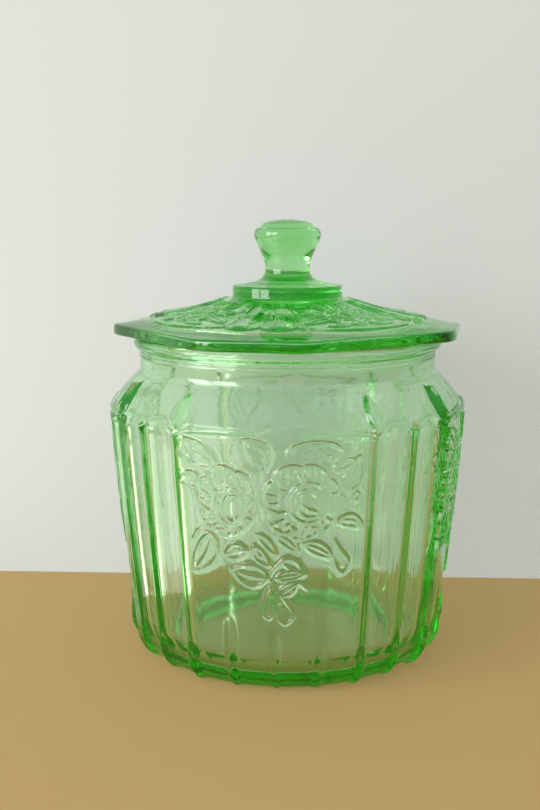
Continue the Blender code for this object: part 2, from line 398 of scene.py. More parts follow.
# %% [markdown]
# ### The lid's blank
#
# The lid starts at the middle of its hollow underside, goes down and round the ring that drops into the
# mouth, and out under the plate. The plate's edge is eight-sided, so its rings take their radius from the
# angle. Then it climbs the low dome to the collar and the knob. A smooth curve through a few turned
# stations gives the knob, as a lathe hand would mark them.


# %% Outline of the lid
def smooth_line(points, step=0.8, closed=False):
    """A flowing curve through the points, as (n, 2) stations about one step apart."""
    points = np.array(points, dtype=float)
    count = len(points)
    if closed:
        points = np.vstack([points[-1], points, points[0], points[1]])
    else:
        points = np.vstack([2 * points[0] - points[1], points, 2 * points[-1] - points[-2]])
    stations = []
    for place in range(1, count + 1 if closed else count):
        before, a, b, after = points[place - 1 : place + 3]
        pieces = max(2, ceil(np.hypot(*(b - a)) / step))
        for share in np.arange(pieces) / pieces:
            pull = a * 2 + (b - before) * share + (2 * before - 5 * a + 4 * b - after) * share**2
            stations.append((pull + (3 * a - before - 3 * b + after) * share**3) / 2)
    if not closed:
        stations.append(points[-2])
    return np.array(stations)


def plate_radius(angles):
    """Radius of the eight-sided plate: four long and four short sides, with rounded corners."""
    total = np.zeros(len(angles))
    for side in range(8):
        facing = np.cos(angles - LID_TURN - tau * side / 8)
        reach = LIP_RADIUS + (SHORT_SIDE_REACH if side % 2 else LONG_SIDE_REACH)
        total += np.where(facing > 0.0, np.abs(facing / reach) ** CORNER_SHARPNESS, 0.0)
    return total ** (-1.0 / CORNER_SHARPNESS)


def plate_ring(inset, roundness=0.0, inner=0.0):
    """A ring that follows the plate's edge, or lies between it and a circle of radius inner."""
    return lambda angles: (plate_radius(angles) - inset) * (1.0 - roundness) + inner * roundness


def dome_height(share):
    return (COLLAR_FOOT - DOME_FOOT) * (0.55 * share + 0.45 * share**2.2)


def knob_outline():
    """Stations from the foot of the knob's cone up to its crown."""
    height = KNOB_TOP - COLLAR_TOP
    cone = [(16.2, 0.9), (13.2, 1.6), (10.4, 3.0), (9.3, 5.2), (9.15, 7.4), (10.3, 11.6)]
    ball = [(12.5, 16.4), (13.5, 19.2), (KNOB_RADIUS, 20.6), (13.4, 21.9), (12.6, 22.8), (11.9, 23.1)]
    crown = [(11.2, 23.2), (10.9, 24.1), (9.9, 24.9), (7.4, 25.8), (3.6, height - 0.1), (1.2, height - 0.02)]
    line = np.vstack([smooth_line(cone + ball, 0.7), smooth_line(crown, 0.7)])
    return [(radius, COLLAR_TOP + z) for radius, z in line]


def lid_rings():
    """(radius, height, step) for each ring of the lid's blank, under and then over."""
    spigot = MOUTH_RADIUS - SPIGOT_GAP
    hollow = spigot - SPIGOT_WALL
    inner = COLLAR_RADIUS - 4.8
    ceiling = [(8.0, CEILING)]
    for share in np.linspace(1.0, 0.06, 18):
        ceiling.append((hollow + (inner - hollow) * share, PLATE + (CEILING - PLATE) * share**0.9))
    turn_in = [(hollow - 1.0, PLATE), (hollow - 0.3, PLATE - 0.3), (hollow, PLATE - 1.2)]
    turn_in.append((hollow, SPIGOT_FOOT + 1.6))
    turn_in += arc((hollow + 1.2, SPIGOT_FOOT + 1.2), (1.2, 1.2), 180.0, 270.0, 4)
    turn_out = arc((spigot - 1.2, SPIGOT_FOOT + 1.2), (1.2, 1.2), -90.0, 0.0, 4) + [(spigot, PLATE - 0.7)]
    turn_out += [(spigot + 0.2, PLATE - 0.15), (spigot + 0.8, PLATE)]
    rings = [(radius, height, 4) for radius, height in ceiling + turn_in + turn_out]
    rings += [(plate_ring(4.0), PLATE, 2), (plate_ring(1.4), PLATE, 1)]
    for inset, height in ((0.9, 0.0), (0.35, 0.18), (0.08, 0.55), (0.0, 1.1), (0.0, 1.9)):
        rings.append((plate_ring(inset), PLATE + height, 1))
    for inset, height in ((0.0, 1.4), (0.12, 0.6), (0.45, 0.2), (1.0, 0.0)):
        rings.append((plate_ring(inset), PLATE_TOP - height, 1))
    for share in np.linspace(0.06, 0.95, 18):
        climb = (DOME_FOOT - PLATE_TOP) * (0.7 * share + 0.3 * share**2)
        rings.append((plate_ring(1.0, share, DOME_RADIUS), PLATE_TOP + climb, 1))
    for share in np.linspace(0.012, 0.985, 60):
        radius = DOME_RADIUS + (COLLAR_RADIUS - DOME_RADIUS) * share
        rings.append((radius, DOME_FOOT + dome_height(share), 1))
    collar = [(0.35, COLLAR_FOOT - 0.05), (0.05, COLLAR_FOOT + 0.4), (0.0, COLLAR_FOOT + 1.6)]
    collar += [(0.0, COLLAR_TOP - 1.4), (-0.1, COLLAR_TOP - 0.5), (-0.45, COLLAR_TOP - 0.12)]
    collar += [(-1.0, COLLAR_TOP), (-2.6, COLLAR_TOP + 0.15), (-4.4, COLLAR_TOP + 0.4)]
    rings += [(COLLAR_RADIUS + proud, height, 2) for proud, height in collar]
    return rings + [(radius, height, 4) for radius, height in knob_outline()]


lid_angles = LID_TURN + np.linspace(0.0, tau, 480, endpoint=False)
lid_blank = stack("pressed_lid", lid_rings(), lid_angles, CEILING, KNOB_TOP)
print("lid blank:", len(lid_blank.data.vertices), "points")

# %% [markdown]
# ## The rose spray
#
# A mould cutter draws the spray flat and sinks its outlines into the iron, so on the glass each petal and
# leaf has a raised, rounded edge. Here the spray is drawn flat too, in millimetres, x across the panel and
# y up. `Drawing` keeps each outline as a line to raise, and the areas inside as a low swelling. A bloom is a
# scalloped curve with one scallop to a petal, and a leaf is a blade with a midrib.


# %% Drawing blooms, leaves and stems
class Drawing:
    """Flat shapes in millimetres: lines that stand proud, and areas that swell a little."""

    def __init__(self):
        self.lines = []
        self.areas = []

    def line(self, points, closed=False):
        points = np.array(points)
        self.lines.append(np.vstack([points, points[:1]]) if closed else points)

    def shape(self, points):
        self.line(points, closed=True)
        self.areas.append(np.array(points))

    def stem(self, *marks):
        self.line(smooth_line(marks))

    def leaf(self, base, tip, width, bend=0.0, vein=0.82):
        """A pointed blade from base to tip. bend bows it to the left of that direction."""
        base, tip = np.array(base), np.array(tip)
        along = tip - base
        side = np.array((-along[1], along[0])) / np.hypot(*along)
        shares = np.linspace(0.0, 1.0, 15)
        spine = base + np.outer(shares, along) + np.outer(bend * np.sin(pi * shares), side)
        half = width / 2 * np.sin(pi * shares**0.85) ** 0.8
        left = spine + half[:, None] * side
        right = spine - half[:, None] * side
        self.shape(np.vstack([left, right[-2:0:-1]]))
        if vein:
            self.line(spine[1 : ceil(15 * vein)])

    def bloom(self, centre, width, height, petals, turn, eye, eye_size):
        """An open rose: scalloped petals with pleats, round an eye that is drawn as a ring of its own."""
        centre, eye, eye_size = np.array(centre), np.array(eye), np.array(eye_size) / 2
        size = np.array((width, height)) / 2

        def at(share, angle):
            """A point between the eye, at share 0, and the petals' tips, at share 1."""
            way = np.column_stack([np.cos(angle), np.sin(angle)])
            share = np.reshape(share, (-1, 1))
            return (eye + way * eye_size) * (1.0 - share) + (centre + way * size) * share

        angles = np.linspace(0.0, tau, 24 * petals, endpoint=False)
        scallop = 0.72 + 0.28 * np.abs(np.sin(petals * (angles - turn) / 2)) ** 0.5
        self.shape(at(scallop, angles))
        self.shape(at(0.0 * angles, angles))
        self.line(at(0.0 * angles - 0.32, angles), closed=True)
        for petal in range(petals):
            cusp = turn + tau * petal / petals
            reach = np.linspace(0.7, 0.16, 6)
            self.line(at(reach, cusp + 0.18 * np.sin((0.7 - reach) * 4.0)))
            for offset in (-0.26, 0.0, 0.26):
                reach = np.linspace(0.82 - abs(offset) * 0.4, 0.42, 5)
                self.line(at(reach, cusp + pi / petals + offset * (0.8 + 0.4 * reach)))

    def objects(self, name):
        """The lines as loose edges, and the areas as faces, in two flat helper objects."""
        made = []
        for kind, parts in (("lines", self.lines), ("areas", self.areas)):
            points, edges, faces = [], [], []
            for part in parts:
                first = len(points)
                points += [(x * MM, y * MM, 0.0) for x, y in part]
                numbers = list(range(first, len(points)))
                if kind == "lines":
                    edges += list(zip(numbers, numbers[1:]))
                else:
                    faces.append(numbers)
            mesh = bpy.data.meshes.new(f"{name}_{kind}")
            mesh.from_pydata(points, edges, faces)
            made.append(bpy.data.objects.new(f"{name}_{kind}", mesh))
            bpy.context.scene.collection.objects.link(made[-1])
        return made


# %% The spray on the jar's panels
spray = Drawing()
left_eye = {"eye": (-16.4, 74.8), "eye_size": (11.0, 14.0)}
spray.bloom((-18.2, 77.0), 25.5, 26.0, petals=6, turn=radians(12), **left_eye)
right_eye = {"eye": (12.8, 77.0), "eye_size": (14.8, 15.2)}
spray.bloom((10.2, 77.4), 29.5, 28.5, petals=7, turn=radians(40), **right_eye)
spray.leaf((9.6, 80.5), (16.8, 73.6), 6.4, bend=0.8, vein=0.0)
spray.leaf((-21.5, 90.0), (-37.0, 99.2), 8.0, bend=0.6, vein=0.6)
spray.leaf((-28.5, 82.0), (-37.0, 85.4), 5.4, bend=-0.4, vein=0.0)
spray.leaf((-2.6, 89.4), (-11.0, 100.4), 9.4, bend=-1.0, vein=0.0)
spray.stem((-8.6, 97.6), (-4.6, 95.6), (-2.4, 91.8))
spray.leaf((26.8, 80.4), (32.4, 94.0), 6.6, bend=-0.8, vein=0.7)
spray.leaf((22.4, 89.6), (30.6, 92.2), 3.4, bend=0.4, vein=0.0)
spray.leaf((24.2, 69.6), (34.6, 66.8), 4.6, bend=1.2)
spray.leaf((31.4, 77.0), (31.2, 80.4), 2.8, vein=0.0)
spray.bloom((24.4, 76.4), 6.4, 6.6, petals=4, turn=0.3, eye=(24.4, 76.4), eye_size=(3.0, 3.2))
bud = [(5.0, 95.4), (9.0, 98.8), (15.5, 99.8), (22.0, 98.8)]
bud += [(25.8, 95.8), (25.4, 93.2), (20.0, 94.6), (11.0, 94.2)]
spray.shape(smooth_line(bud, closed=True))
spray.stem((8.0, 96.0), (13.0, 97.2), (18.5, 96.8))
spray.leaf((-24.2, 63.4), (-33.4, 48.0), 8.6, bend=1.4)
spray.stem((-33.0, 60.4), (-30.4, 64.2), (-25.0, 63.6))
spray.leaf((-10.6, 58.4), (-19.0, 55.8), 5.6, bend=-0.4)
spray.leaf((-6.4, 65.0), (0.8, 56.8), 2.8, bend=0.4, vein=0.0)
spray.leaf((0.4, 65.4), (9.4, 58.2), 4.6, bend=0.8)
spray.leaf((-7.6, 60.0), (-2.0, 52.6), 4.0, bend=-0.5, vein=0.5)
spray.leaf((11.0, 61.6), (23.0, 55.4), 4.4, bend=0.6)
droop = [(22.6, 69.0), (22.8, 63.6), (26.2, 58.0), (29.0, 54.0)]
droop += [(28.6, 50.8), (26.6, 49.2), (24.2, 51.6), (23.0, 56.0)]
spray.shape(smooth_line(droop, closed=True))
spray.stem((23.6, 61.0), (26.4, 55.6), (26.8, 52.0))
spray.leaf((-2.4, 47.8), (-16.2, 50.4), 8.4, bend=0.6)
spray.stem((-2.2, 46.8), (-0.6, 50.6), (3.6, 54.8))
spray.leaf((3.4, 54.8), (10.8, 50.4), 3.8, bend=0.5, vein=0.0)
spray.leaf((0.8, 47.8), (11.8, 49.4), 3.4, bend=0.3)
spray.leaf((1.8, 41.4), (9.2, 46.4), 4.2, bend=-0.4)
spray.stem((9.2, 46.4), (10.8, 45.4), (12.6, 43.6))
spray.stem((-2.2, 47.6), (-0.4, 45.4), (1.6, 42.0), (2.0, 38.0))
left_end = [(-1.6, 44.6), (-3.8, 40.4), (-4.6, 36.0), (-3.8, 32.4), (-1.8, 31.6), (-0.6, 34.4), (-0.6, 40.0)]
spray.shape(smooth_line(left_end, closed=True))
right_end = [(0.4, 43.6), (4.6, 38.6), (7.6, 33.6), (6.4, 30.6), (3.6, 29.6), (1.6, 32.0), (0.8, 37.6)]
spray.shape(smooth_line(right_end, closed=True))
spray.stem((-8.0, 87.0), (-7.2, 80.4), (-7.0, 72.0), (-6.0, 66.0))
spray.stem((-5.2, 88.0), (-5.0, 78.0), (-4.8, 70.8))
for gap in (7.0, 9.6, 12.2, 14.8):
    spray.line([(gap, 67.6), (gap - 0.2, 64.0)])
spray_lines, spray_areas = spray.objects("spray")
print("the spray has", len(spray.lines), "lines and", len(spray.areas), "raised areas")

# %% [markdown]
# ## Pressing the jar
#
# The drawn lines are finer than the blank's faces, so the faces near a line are first cut into four.
#
# One Geometry Nodes tree raises everything on the outside. Each point of the blank knows its angle and
# height. From these, expressions give the height of the ribs, flutes, arches and leaf drops above the blank.
# The spray comes from the distance to the nearest drawn line, looked up in the flat drawing and folded on
# to each of the four panels. The point then moves out by the sum. Because it is a rule, changing one named
# input, such as the ribs' height, changes it all round the jar.


# %% Cutting the faces under the lines
def refine(piece, drawing, to_flat, reach):
    """Cuts in four the faces whose middle, laid flat by to_flat, is within reach mm of a drawn line."""
    stations = np.vstack([smooth_steps(line) for line in drawing.lines])
    tree = KDTree(len(stations))
    for number, station in enumerate(stations):
        tree.insert((*station, 0.0), number)
    tree.balance()
    mesh = bmesh.new()
    mesh.from_mesh(piece.data)
    chosen = set()
    for face in mesh.faces:
        spot = to_flat(face.calc_center_median() / MM, face.normal)
        if spot is not None and tree.find((*spot, 0.0))[2] < reach:
            chosen.update(face.edges)
    bmesh.ops.subdivide_edges(mesh, edges=list(chosen), cuts=1, use_grid_fill=True)
    mesh.to_mesh(piece.data)
    mesh.free()
    print(piece.name, "now has", len(piece.data.vertices), "points")


def smooth_steps(line, step=0.7):
    """The line with extra stations, so that none are further apart than step."""
    stations = []
    for a, b in zip(line, line[1:]):
        count = max(1, ceil(np.hypot(*(b - a)) / step))
        stations += [a + (b - a) * share / count for share in range(count)]
    return np.array([*stations, line[-1]])


def jar_flat(place, normal):
    """Where a point of the jar's outside lies on the flat drawing of its panel."""
    looks_out = normal.x * place.x + normal.y * place.y >= 0.0
    if not (SPRAY_FOOT <= place.z <= SHOULDER and looks_out):
        return None
    angle = degrees(atan2(place.x, -place.y))
    folded = (angle + 45.0) % 90.0 - 45.0
    return folded * radians(PANEL_RADIUS), place.z


refine(jar_blank, spray, jar_flat, reach=0.92)


# %% Geometry tree helpers
def geometry_tree(name, inputs):
    """A tree with geometry in and out, and one named input for each entry."""
    group = bpy.data.node_groups.new(name, "GeometryNodeTree")
    kinds = {bpy.types.Object: "Object", bpy.types.Material: "Material", float: "Float"}
    group.interface.new_socket("Geometry", in_out="INPUT", socket_type="NodeSocketGeometry")
    for label, value in inputs.items():
        group.interface.new_socket(label, in_out="INPUT", socket_type="NodeSocket" + kinds[type(value)])
    group.interface.new_socket("Geometry", in_out="OUTPUT", socket_type="NodeSocketGeometry")
    source = group.nodes.new("NodeGroupInput")
    return Tree(group), {label: Value(group, source.outputs[label]) for label in ("Geometry", *inputs)}


def place_on(tree):
    """The x, y and height of each point in mm, its outward direction, and how far its face looks out."""
    position = tree.add("GeometryNodeInputPosition")
    x, y, height = tree.parts(position)
    level = tree.add("ShaderNodeVectorMath", {"operation": "MULTIPLY"}, {0: position, 1: (1.0, 1.0, 0.0)})
    outward = tree.add("ShaderNodeVectorMath", {"operation": "NORMALIZE"}, {0: level})
    normal = tree.add("GeometryNodeInputNormal")
    facing = tree.add("ShaderNodeVectorMath", {"operation": "DOT_PRODUCT"}, {0: normal, 1: outward}, 1)
    return x, y, height, normal, outward, facing


def drawn(tree, helper, target, across, up):
    """Distance in mm from a flat drawing, looked up at the point (across, up)."""
    source = tree.add("GeometryNodeObjectInfo", {}, {"Object": helper}, 4)
    spot = tree.add("ShaderNodeCombineXYZ", {}, {"X": across * MM, "Y": up * MM})
    sockets = {0: source, "Sample Position": spot}
    return tree.add("GeometryNodeProximity", {"target_element": target}, sockets, 1) / MM


def move_out(tree, geometry, direction, relief):
    """Moves each point by relief mm along the direction."""
    offset = tree.add("ShaderNodeVectorMath", {"operation": "SCALE"}, {0: direction, "Scale": relief * MM})
    return tree.add("GeometryNodeSetPosition", {}, {"Geometry": geometry, "Offset": offset})


def finish_tree(tree, geometry, material):
    """Realises and paints the geometry, and joins it to the tree's output."""
    real = tree.add("GeometryNodeRealizeInstances", {}, {"Geometry": geometry})
    painted = tree.add("GeometryNodeSetMaterial", {}, {"Geometry": real, "Material": material})
    put(tree.tree, tree.tree.nodes.new("NodeGroupOutput").inputs[0], painted)
    return tree.tree


def press(piece, group, values):
    """Runs a tree on a piece and keeps the result as its plain mesh."""
    modifier = piece.modifiers.new(group.name, "NODES")
    modifier.node_group = group
    for item in group.interface.items_tree:
        if item.in_out == "INPUT" and item.name in values:
            modifier[item.identifier] = values[item.name]
    blank = piece.data
    seen = piece.evaluated_get(bpy.context.evaluated_depsgraph_get())
    piece.data = bpy.data.meshes.new_from_object(seen)
    piece.modifiers.remove(modifier)
    bpy.data.meshes.remove(blank)
    piece.data.name = piece.name
    print(piece.name, "has", sum(len(face.vertices) - 2 for face in piece.data.polygons), "triangles")


# %% [markdown]
# ## Glass
#
# Green pressed glass is clear glass coloured through by metal oxides, such as those of iron and chromium, so
# thin walls look pale and thick ribs look deep. The colour is therefore a volume absorption and not a
# surface colour. A small bump on the polished skin gives the faint waviness of the mould and a few dents, as
# tiny burst bubbles leave. The inside is a little hazier than the outside, which softens the far side as it
# is seen through the near one. `skin` is the outside radius at each height, so `depth` says how far into the
# wall a point is, and `plunger` is 1 on the inside, where the mould's plunger pressed.


# %% Green glass
GLASS_TINT = (0.19, 0.87, 0.13, 1.0)
GLASS_DENSITY = 54.0
GLASS_IOR = 1.52
OUTER_POLISH = (0.012, 0.035)
INNER_HAZE = 0.065
BUMP_STRENGTH = 0.14


def pressed_glass():
    material = bpy.data.materials.new("green_pressed_glass")
    material.use_nodes = True
    nodes = material.node_tree.nodes
    tree = Tree(material.node_tree)
    shader = nodes["Principled BSDF"]
    shader.inputs["Base Color"].default_value = (1.0, 1.0, 1.0, 1.0)
    shader.inputs["Transmission Weight"].default_value = 1.0
    shader.inputs["IOR"].default_value = GLASS_IOR
    shader.inputs["Metallic"].default_value = 0.0
    place = tree.add("ShaderNodeTexCoord", output=3)
    handling = tree.add("ShaderNodeTexNoise", {}, {"Vector": place, "Scale": 38.0, "Detail": 3.0})
    x, y, height = tree.parts(place)
    side = BASE_RADIUS + SIDE_TAPER / (SHOULDER - BASE_CURVE_TOP) * (height - BASE_CURVE_TOP)
    slope = PANEL_RADIUS - SHOULDER_OVERHANG / (NECK_FOOT - SHOULDER) * (height - SHOULDER)
    skin = side.maths("MINIMUM", slope).maths("MAXIMUM", NECK_RADIUS)
    depth = skin - (x * x + y * y).maths("SQRT")
    below_lip = tree.rise(height, LIP_TOP, LIP_TOP - 2.0)
    plunger = tree.rise(depth, WALL / 2 - 0.4, WALL / 2 + 0.4) * below_lip
    polish = tree.rise(handling, 0.35, 0.75, *OUTER_POLISH)
    put(tree.tree, shader.inputs["Roughness"], polish + INNER_HAZE * plunger)
    ripple = tree.add("ShaderNodeTexNoise", {}, {"Vector": place, "Scale": 70.0, "Detail": 1.5})
    wave = tree.add("ShaderNodeTexNoise", {}, {"Vector": place, "Scale": 260.0, "Detail": 2.0})
    dents = tree.add("ShaderNodeTexVoronoi", {}, {"Vector": place, "Scale": 95.0})
    relief = ripple + 0.18 * wave - 2.0 * tree.rise(dents, 0.06, 0.0)
    sockets = {"Height": relief, "Strength": BUMP_STRENGTH, "Distance": 0.001}
    put(tree.tree, shader.inputs["Normal"], tree.add("ShaderNodeBump", {}, sockets))
    sockets = {"Density": GLASS_DENSITY, "Color": GLASS_TINT}
    colour = tree.add("ShaderNodeVolumeAbsorption", {}, sockets)
    put(tree.tree, nodes["Material Output"].inputs["Volume"], colour)
    return material


green_glass = pressed_glass()
print("the glass has", len(green_glass.node_tree.nodes), "nodes")

# %% [markdown]
# ### The jar's tree
#
# Each profile below is 1 on its feature and 0 away from it, and is multiplied by where the feature starts
# and stops. The flutes between two ribs end in round arches at the shoulder. A panel ends in one flat arch
# with a small peak. Above each tall rib a leaf-shaped drop lies on the shoulder.


# %% The tree that presses the jar
TALL_HALF_WIDTH = 2.6
MIDDLE_HALF_WIDTH = 2.4
SHORT_HALF_WIDTH = 2.9
SHORT_RIB_STEP = 15.0  # degrees
DROP_LENGTH = 0.82  # of the shoulder
DROP_WIDTH = 6.4
FLUTE_AT = (TALL_RIB_AT + MIDDLE_RIB_AT) / 2
FLUTE_HALF = (MIDDLE_RIB_AT - TALL_RIB_AT) / 2
FLUTE_ARCH = 3.9
PANEL_PEAK = 2.8
PEAK_HALF_WIDTH = 15.0
ARCH_HALF_WIDTH = 1.2
AREA_SWELL = 0.28


def jar_pressing(values):
    tree, given = geometry_tree("jar_pressing", values)
    x, y, height, normal, outward, facing = place_on(tree)
    angle = x.maths("ARCTAN2", -y) * degrees(1.0)
    folded = angle.maths("WRAP", 45.0, -45.0)
    to_mm = radians(PANEL_RADIUS)
    across = folded * to_mm
    aside = abs(across)
    shoulder = (height - SHOULDER) / (NECK_FOOT - SHOULDER)
    foot = tree.rise(height, 0.0, BASE_CURVE_TOP, 0.7, 1.0)

    from_tall = aside - TALL_RIB_AT * to_mm
    tall_end = tree.rise(height, SHOULDER + 1.5, SHOULDER - 1.0)
    tall = tree.ridge(from_tall, 0.0, TALL_HALF_WIDTH) * foot * tall_end
    drop = (shoulder / DROP_LENGTH).maths("MAXIMUM", 0.0).maths("MINIMUM", 1.0) ** 0.8
    half_drop = DROP_WIDTH / 2 * (drop * pi).maths("SINE").maths("MAXIMUM", 0.001) ** 0.7
    drop_ends = tree.rise(shoulder, DROP_LENGTH + 0.1, DROP_LENGTH - 0.1)
    in_drop = tree.rise(shoulder, 0.0, 0.08) * drop_ends
    leaf = tree.rise(abs(from_tall) - half_drop, 0.2, -1.7) * in_drop
    tall = (tall + leaf) * given["Tall rib height"]
    knot = tree.ridge(height, SHOULDER - 0.6, 1.8) * tree.ridge(from_tall, 0.0, 2.6) * 0.35

    middle_end = tree.rise(height, SHOULDER - 1.0, SHOULDER + 2.2, 1.0, 0.0)
    middle = tree.rise(MIDDLE_RIB_AT * to_mm - aside, MIDDLE_HALF_WIDTH, 0.0)
    middle = middle * middle_end * foot * given["Middle rib height"]
    step = SHORT_RIB_STEP
    from_short = (folded / step).maths("WRAP", 0.5, -0.5) * step * to_mm
    short_end = tree.rise(height, 11.0, 32.0, 1.0, 0.0)
    short = tree.ridge(from_short, 0.0, SHORT_HALF_WIDTH) * tree.rise(aside, 30.0, 28.0)
    short = short * short_end * foot * given["Short rib height"]

    flute_place = (abs(folded) - FLUTE_AT) / FLUTE_HALF
    flute_arch = SHOULDER - 1.6 + FLUTE_ARCH * (1.0 - flute_place * flute_place)
    peak = (1.0 - aside / PEAK_HALF_WIDTH).maths("MAXIMUM", 0.0) ** 3.0
    panel_arch = SHOULDER + 0.7 + PANEL_PEAK * peak - 1.6 * (aside / 38.0) ** 6.0
    fluted = aside.maths("GREATER_THAN", TALL_RIB_AT * to_mm)
    over_arch = height - (fluted * flute_arch + (1.0 - fluted) * panel_arch)
    arches = tree.ridge(over_arch, 0.0, ARCH_HALF_WIDTH) * (1.0 - 0.35 * fluted)
    arches = arches * tree.rise(height, SHOULDER - 6.0, SHOULDER - 3.0)
    below = tree.rise(over_arch, 0.6, -1.0)
    hollow = tree.rise(abs(flute_place), 0.95, 0.25) * fluted * below * foot * given["Flute depth"]
    panel_edge = tree.ridge(aside, TALL_RIB_AT * to_mm - 4.3, 0.9)
    panel_edge = panel_edge * below * tree.rise(height, 20.0, 30.0) * 0.3

    from_line = drawn(tree, given["Drawn lines"], "EDGES", across, height)
    from_area = drawn(tree, given["Drawn areas"], "FACES", across, height)
    outline = tree.rise(from_line, given["Line width"], 0.0) ** 0.9
    swell = tree.rise(from_area, 0.9, 0.0) * AREA_SWELL
    on_panel = tree.rise(aside, 37.4, 35.6)
    roses = (outline * given["Line height"] + swell) * on_panel

    relief = tall + knot + middle + short + arches - hollow + panel_edge + roses
    skin = tree.rise(facing, 0.02, 0.2)
    upright = tree.rise(height, 50.0, 90.0)
    settings = {"data_type": "VECTOR"}
    direction = tree.add("ShaderNodeMix", settings, {0: upright, 4: outward, 5: normal}, 1)
    pressed = move_out(tree, given["Geometry"], direction, relief * skin)
    return finish_tree(tree, pressed, given["Glass"])


jar_values = {
    "Tall rib height": 3.0,
    "Middle rib height": 1.8,
    "Short rib height": 2.2,
    "Flute depth": 0.8,
    "Line width": 1.1,
    "Line height": 0.86,
    "Drawn lines": spray_lines,
    "Drawn areas": spray_areas,
    "Glass": green_glass,
}
press(jar_blank, jar_pressing(jar_values), jar_values)

# %% [markdown]
# ## Pressing the lid
#
# The lid's dome repeats a pair of flutes four times, with a rose and leaves in the wider part between. The
# drawing for it lies flat as well: x is the arc length at the middle of the dome, and y is the distance
# from the lid's axis.

# %% The roses on the lid
LID_ROSE_RADIUS = 42.0
lid_spray = Drawing()
eye = {"eye": (0.0, 41.5), "eye_size": (8.5, 8.5)}
lid_spray.bloom((0.0, 41.5), 20.0, 19.0, petals=6, turn=0.2, **eye)
for side in (-1, 1):
    lid_spray.leaf((side * 8.5, 42.0), (side * 19.0, 48.5), 6.0, bend=-1.2 * side)
    lid_spray.leaf((side * 7.5, 36.0), (side * 17.0, 37.0), 5.0, bend=0.9 * side)
    lid_spray.leaf((side * 5.0, 33.0), (side * 11.5, 27.5), 4.6, bend=-0.8 * side)
    lid_spray.leaf((side * 4.5, 48.6), (side * 12.0, 52.4), 4.0, bend=0.6 * side)
    lid_spray.stem((side * 1.5, 32.8), (side * 3.0, 29.6), (side * 2.0, 26.0))
lid_lines, lid_areas = lid_spray.objects("lid_spray")
print("the lid's rose has", len(lid_spray.lines), "lines")

# %% The tree that presses the lid
LID_FLUTE_STEP = 15.0  # degrees
LID_FLUTE_HALF = LID_FLUTE_STEP / 2
FLUTE_END = 53.4
FLUTE_END_ARCH = 3.6
BRACKET_RADIUS = 56.8
LID_SWELL = 0.3


def lid_pressing(values):
    tree, given = geometry_tree("lid_pressing", values)
    x, y, height, normal, outward, facing = place_on(tree)
    angle = x.maths("ARCTAN2", -y) * degrees(1.0) - degrees(LID_TURN)
    reach = (x * x + y * y).maths("SQRT")
    flute = angle.maths("WRAP", 45.0, -45.0)
    rose = (angle - 45.0).maths("WRAP", 45.0, -45.0)

    in_flutes = tree.rise(abs(flute), 15.3, 14.7)
    place = (abs(flute) - LID_FLUTE_HALF) / LID_FLUTE_HALF
    end = FLUTE_END + FLUTE_END_ARCH * (1.0 - place * place)
    bracket = BRACKET_RADIUS - 2.2 * (abs(rose) / 30.0) ** 3.0
    over = reach - (in_flutes * end + (1.0 - in_flutes) * bracket)
    ends = tree.ridge(over, 0.0, 0.9) * 0.75 + tree.ridge(over, -2.0, 0.7) * 0.2
    lobes = tree.rise(abs(place), 1.0, 0.1) * in_flutes * tree.rise(over, 0.4, -1.6)
    lobes = lobes * given["Flute height"]
    step = LID_FLUTE_STEP
    away = (flute / step).maths("WRAP", 0.5, -0.5) * step * reach * radians(1.0)
    edges = tree.ridge(away, 0.0, 0.9) * tree.rise(abs(flute), 16.5, 15.5)
    edges = edges * tree.rise(over, 0.2, -0.4) * 0.7

    across = rose * radians(LID_ROSE_RADIUS)
    from_line = drawn(tree, given["Drawn lines"], "EDGES", across, reach)
    from_area = drawn(tree, given["Drawn areas"], "FACES", across, reach)
    outline = tree.rise(from_line, given["Line width"], 0.0) * given["Line height"]
    swell = tree.rise(from_area, 0.8, 0.0) * LID_SWELL
    roses = (outline + swell) * (1.0 - in_flutes)

    zone = tree.rise(reach, 25.0, 27.5) * tree.rise(reach, 60.0, 58.6)
    zone = zone * tree.rise(height, PLATE_TOP - 0.5, PLATE_TOP)
    relief = (ends + lobes + edges + roses) * zone
    return finish_tree(tree, move_out(tree, given["Geometry"], normal, relief), given["Glass"])


lid_values = {
    "Flute height": 1.1,
    "Line width": 0.9,
    "Line height": 0.5,
    "Drawn lines": lid_lines,
    "Drawn areas": lid_areas,
    "Glass": green_glass,
}
press(lid_blank, lid_pressing(lid_values), lid_values)
for helper in (spray_lines, spray_areas, lid_lines, lid_areas):
    bpy.data.objects.remove(helper, do_unlink=True)

# %% [markdown]
# ## Floor, wall and light
#
# Clear glass is seen by what is behind it, so the surroundings matter as much as the material. The jar
# stands on a plain sand floor, close in front of an off-white wall that is turned a little from the camera.
# The wall shows only its front, so that it doesn't hide the jar from behind. Both glow a little, or the
# parts of them that are seen through the glass would be too dark.


# %% Floor and wall
def plain(name, colour, glow, one_sided=False):
    """A matt finish that reflects part of its colour and gives off the rest, like a light table."""
    material = bpy.data.materials.new(name)
    material.use_nodes = True
    tree = Tree(material.node_tree)
    shader = material.node_tree.nodes["Principled BSDF"]
    shader.inputs["Base Color"].default_value = (*(value * (1.0 - glow) for value in colour), 1.0)
    shader.inputs["Emission Color"].default_value = (*colour, 1.0)
    shader.inputs["Emission Strength"].default_value = glow
    shader.inputs["Roughness"].default_value = 0.8
    shader.inputs["Specular IOR Level"].default_value = 0.2
    if one_sided:
        back = tree.add("ShaderNodeNewGeometry", output=6)
        clear = tree.add("ShaderNodeBsdfTransparent")
        front = Value(material.node_tree, shader.outputs[0])
        both = tree.add("ShaderNodeMixShader", {}, {0: back, 1: front, 2: clear})
        put(material.node_tree, material.node_tree.nodes["Material Output"].inputs["Surface"], both)
    return material


